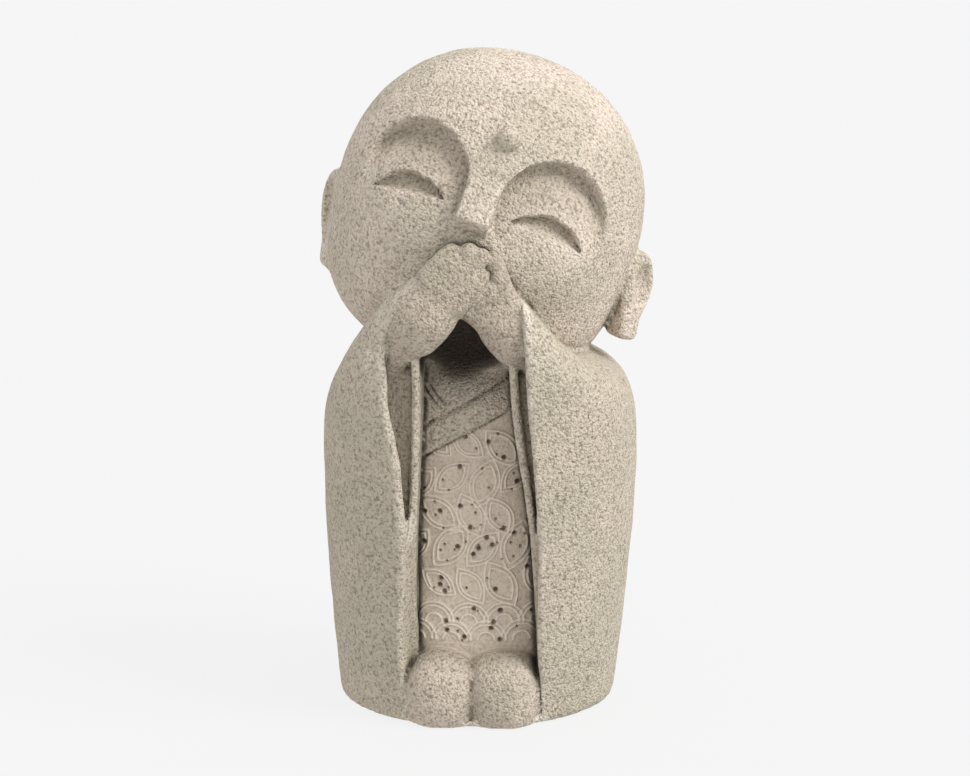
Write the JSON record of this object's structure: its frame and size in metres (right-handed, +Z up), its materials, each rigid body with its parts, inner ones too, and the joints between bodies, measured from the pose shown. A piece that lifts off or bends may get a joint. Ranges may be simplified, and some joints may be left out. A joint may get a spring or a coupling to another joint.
{
  "type": "child monk figurine",
  "caption": "Cast-stone garden figurine of a laughing child monk with a tipped round head, both hands over the mouth and a wide-sleeved robe; stands on its flat base.",
  "frame": {"origin": "on the ground under the middle of the robe's round base", "axes": "+Z up through the crown, the figure faces -Y, its own left hand is towards +X"},
  "size_m": [0.199, 0.1993, 0.4001],
  "materials": {
    "stone": "coarse matt cast stone, pinkish beige with a grey-green tinge on the robe"
  },
  "bodies": {
    "root": {"figurine": "stone"}
  },
  "joints": []
}
